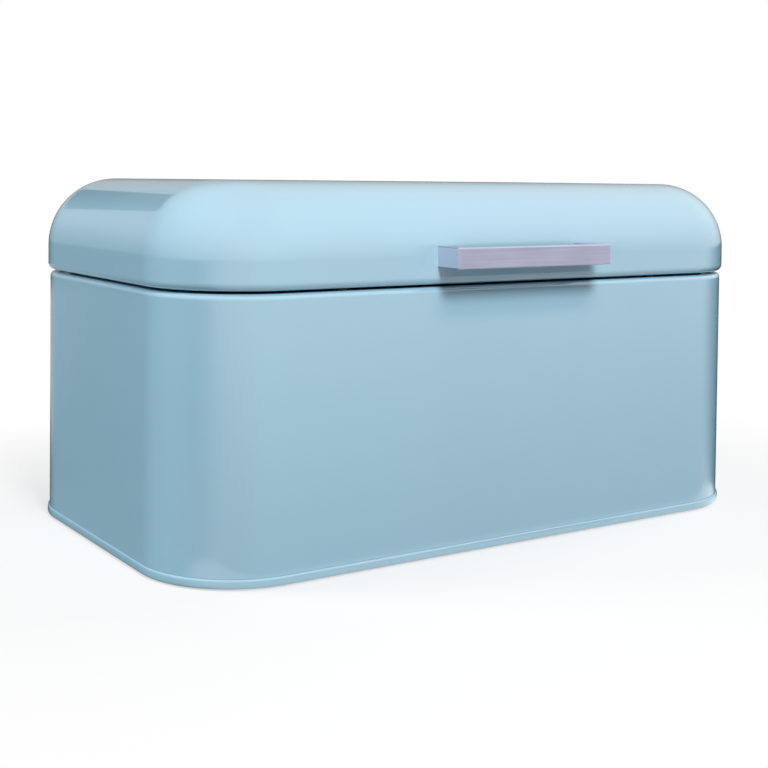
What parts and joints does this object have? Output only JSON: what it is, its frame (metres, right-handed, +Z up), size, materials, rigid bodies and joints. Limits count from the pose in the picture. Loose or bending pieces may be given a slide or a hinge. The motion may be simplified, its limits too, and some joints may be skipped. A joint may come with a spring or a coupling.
{
  "type": "bread box",
  "caption": "Rounded rectangular sheet steel bread box with a domed lid on rear hinges, a square bar handle on the lid's front and a rolled seam round the base.",
  "frame": {"origin": "on the table, under the middle of the box's overall plan with its handle and hinges", "axes": "+X to the right along the box's length as seen from the handle, +Y from the handle to the hinges, +Z up"},
  "size_m": [0.42, 0.2854, 0.214],
  "materials": {
    "blue_paint": "glossy light blue paint on sheet steel",
    "handle_steel": "brushed along its length",
    "zinc_plate": "zinc plated, satin",
    "grey_rubber": "matt"
  },
  "bodies": {
    "box": {"body_wall": "blue_paint", "base_pan": "blue_paint", "foot_front_left": "grey_rubber", "foot_front_right": "grey_rubber", "foot_back_left": "grey_rubber", "foot_back_right": "grey_rubber", "rim_buffer_left": "grey_rubber", "rim_buffer_right": "grey_rubber", "hinge_pin_left": "zinc_plate", "hinge_pin_right": "zinc_plate", "hinge_body_leaf_left": "zinc_plate", "hinge_body_leaf_right": "zinc_plate", "rivet_body_left_outer": "zinc_plate", "rivet_body_left_inner": "zinc_plate", "rivet_body_right_outer": "zinc_plate", "rivet_body_right_inner": "zinc_plate"},
    "lid": {"lid_shell": "blue_paint", "handle": "handle_steel", "handle_screw_left": "zinc_plate", "handle_screw_right": "zinc_plate", "handle_washer_left": "zinc_plate", "handle_washer_right": "zinc_plate", "hinge_lid_leaf_left": "zinc_plate", "hinge_lid_leaf_right": "zinc_plate", "rivet_lid_left_outer": "zinc_plate", "rivet_lid_left_inner": "zinc_plate", "rivet_lid_right_outer": "zinc_plate", "rivet_lid_right_inner": "zinc_plate"}
  },
  "joints": [
    {"name": "lid_hinge", "type": "hinge", "parent": "box", "child": "lid", "pos_m": [0, 0.13409, 0.1555], "axis": [-1, 0, 0], "range_deg": [0, 100]}
  ]
}
